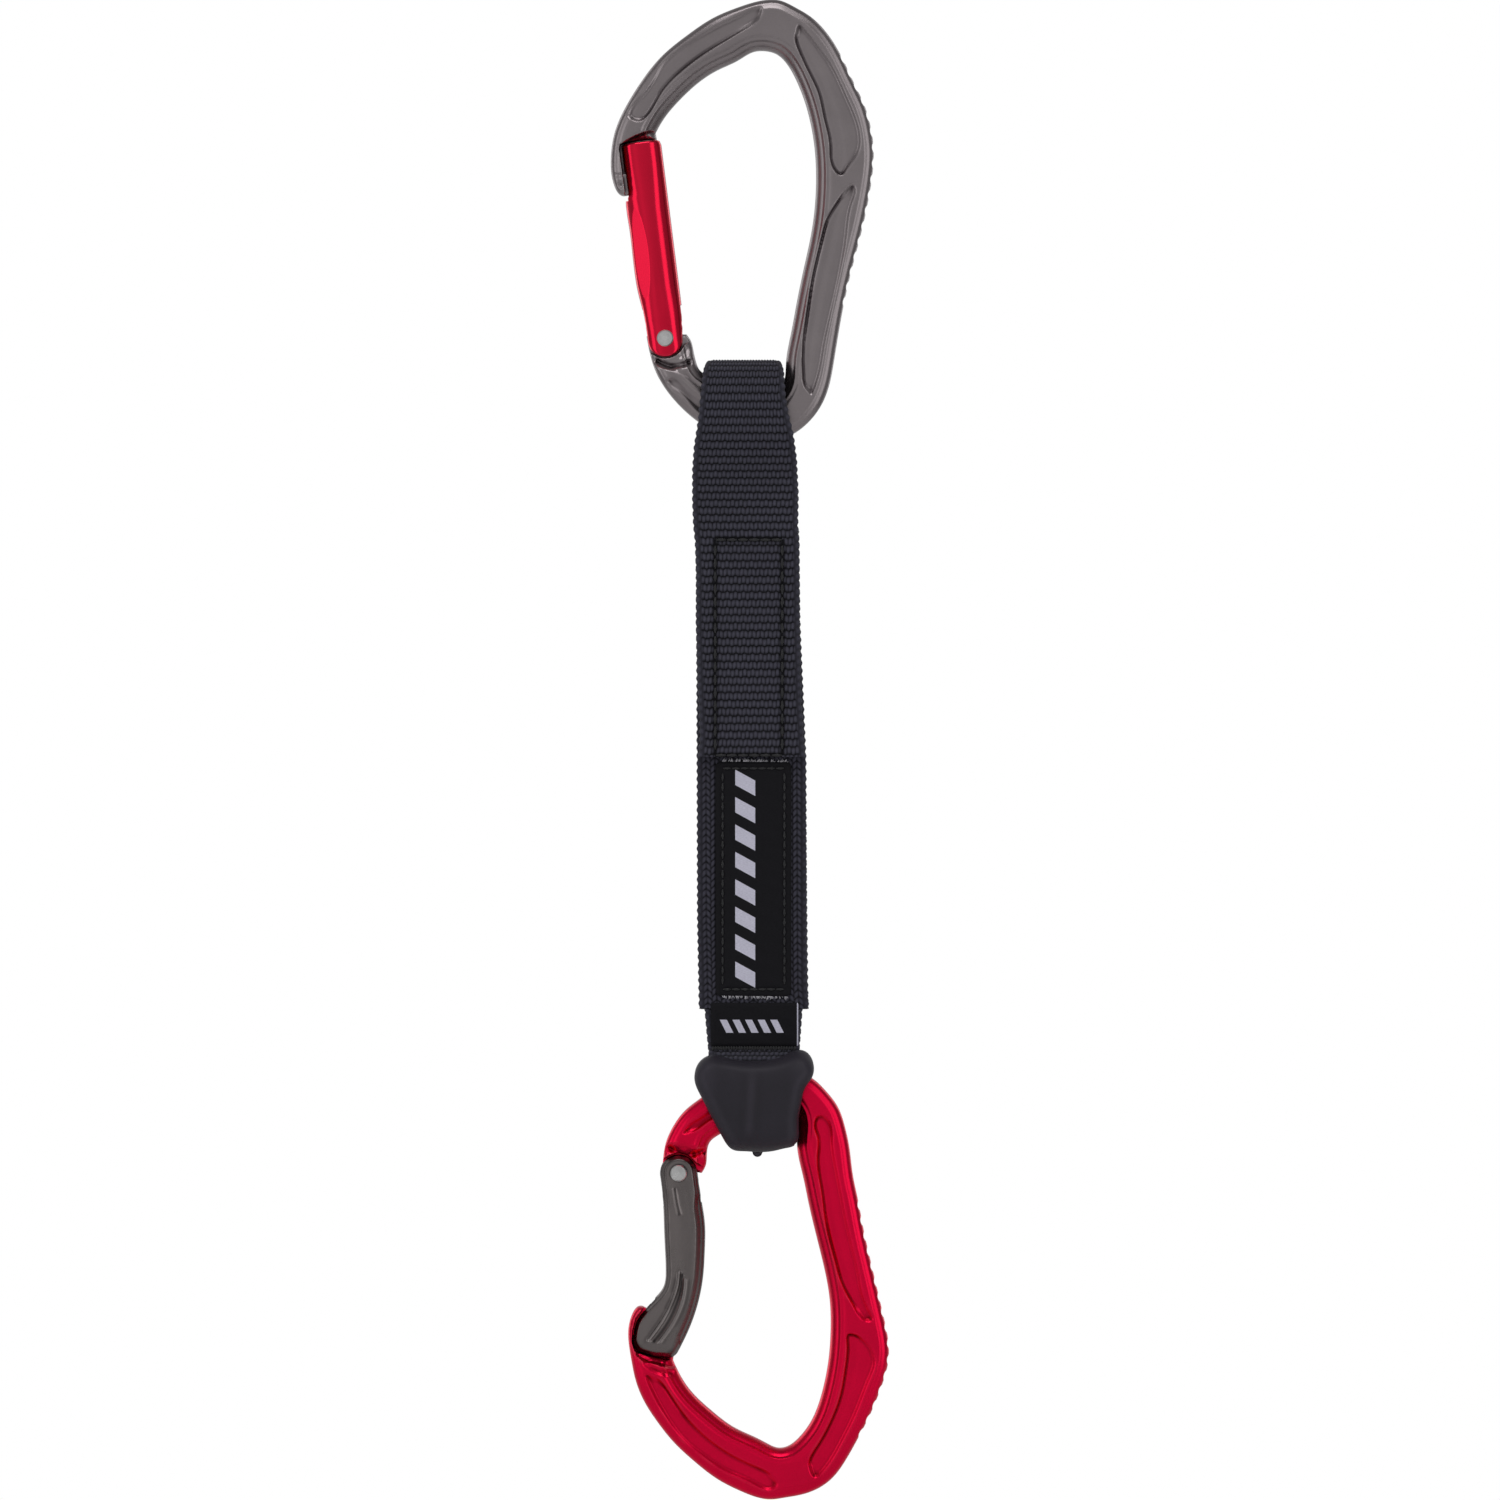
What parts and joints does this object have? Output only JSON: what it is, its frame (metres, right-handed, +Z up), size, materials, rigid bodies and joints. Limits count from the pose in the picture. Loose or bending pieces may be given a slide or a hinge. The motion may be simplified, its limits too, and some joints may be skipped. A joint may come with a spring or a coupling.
{
  "type": "climbing quickdraw",
  "caption": "Climbing quickdraw: straight-gate and bent-gate carabiners joined by a sewn webbing sling, with a rubber keeper on the lower one.",
  "frame": {"origin": "apex of the upper carabiner's basket, where an anchor or bolt hanger bears, in the middle of its thickness", "axes": "+Z up along the hanging quickdraw; +X towards the carabiners' spines; +Y away from the front face, which carries the labels"},
  "size_m": [0.0639, 0.0218, 0.3445],
  "materials": {
    "body_grey": "anodised, satin",
    "gate_red": "anodised, satin",
    "body_red": "anodised, satin",
    "gate_gunmetal": "anodised, satin",
    "rivet_steel": "satin",
    "spring_steel": "bright",
    "webbing": "tightly woven, matte",
    "thread": "twisted thread",
    "label": "woven label",
    "rubber": "moulded, satin"
  },
  "bodies": {
    "upper_carabiner": {"upper_carabiner_body": "body_grey", "upper_gate_rivet": "rivet_steel"},
    "upper_gate": {"upper_gate": "gate_red", "upper_gate_spring": "spring_steel"},
    "upper_plunger": {"upper_gate_plunger": "spring_steel"},
    "upper_loop": {"upper_loop_webbing": "webbing"},
    "sling": {"front_webbing": "webbing", "core_webbing": "webbing", "back_webbing": "webbing", "box_stitching": "thread", "long_label": "label", "label_stitching": "thread"},
    "lower_loop": {"lower_loop_webbing": "webbing", "tab_label": "label", "bartack_stitching": "thread", "rubber_keeper": "rubber"},
    "lower_carabiner": {"lower_carabiner_body": "body_red", "lower_gate_rivet": "rivet_steel"},
    "lower_gate": {"lower_gate": "gate_gunmetal", "lower_gate_spring": "spring_steel"},
    "lower_plunger": {"lower_gate_plunger": "spring_steel"}
  },
  "joints": [
    {"name": "upper_gate_hinge", "type": "hinge", "parent": "upper_carabiner", "child": "upper_gate", "pos_m": [-0.0227, 0, -0.0662], "axis": [0, 1, 0], "range_deg": [0, 27], "stiffness_Nm_per_rad": 0.2, "springref_deg": -28.65},
    {"name": "upper_plunger_slide", "type": "slide", "parent": "upper_gate", "child": "upper_plunger", "axis": [-0.1219, 0, 0.9925], "range_m": [0, 0.00142], "deforming": ["upper_gate_spring"]},
    {"name": "upper_loop_rock", "type": "hinge", "parent": "upper_carabiner", "child": "upper_loop", "pos_m": [-0.0046, 0, -0.0825], "axis": [1, 0, 0], "range_deg": [-12, 12]},
    {"name": "upper_neck_flex", "type": "hinge", "parent": "upper_loop", "child": "sling", "pos_m": [-0.0043, 0, -0.103], "axis": [1, 0, 0], "range_deg": [-45, 45], "stiffness_Nm_per_rad": 0.01},
    {"name": "lower_neck_flex", "type": "hinge", "parent": "sling", "child": "lower_loop", "pos_m": [-0.0022, 0.00118, -0.22303], "axis": [1, 0, 0], "range_deg": [-45, 45], "stiffness_Nm_per_rad": 0.01},
    {"name": "lower_carabiner_rock", "type": "hinge", "parent": "lower_loop", "child": "lower_carabiner", "pos_m": [-0.002, 0, -0.2389], "axis": [1, 0, 0], "range_deg": [-5, 5], "stiffness_Nm_per_rad": 0.05},
    {"name": "lower_gate_hinge", "type": "hinge", "parent": "lower_carabiner", "child": "lower_gate", "pos_m": [-0.0196, 0, -0.258], "axis": [0, -1, 0], "range_deg": [0, 27], "stiffness_Nm_per_rad": 0.2, "springref_deg": -28.65},
    {"name": "lower_plunger_slide", "type": "slide", "parent": "lower_gate", "child": "lower_plunger", "axis": [0.0785, 0, -0.9969], "range_m": [0, 0.00142], "deforming": ["lower_gate_spring"]}
  ],
  "couplings": [
    {"joint": "upper_plunger_slide", "follows": "upper_gate_hinge", "m_per_rad": 0.003},
    {"joint": "lower_plunger_slide", "follows": "lower_gate_hinge", "m_per_rad": 0.003}
  ]
}
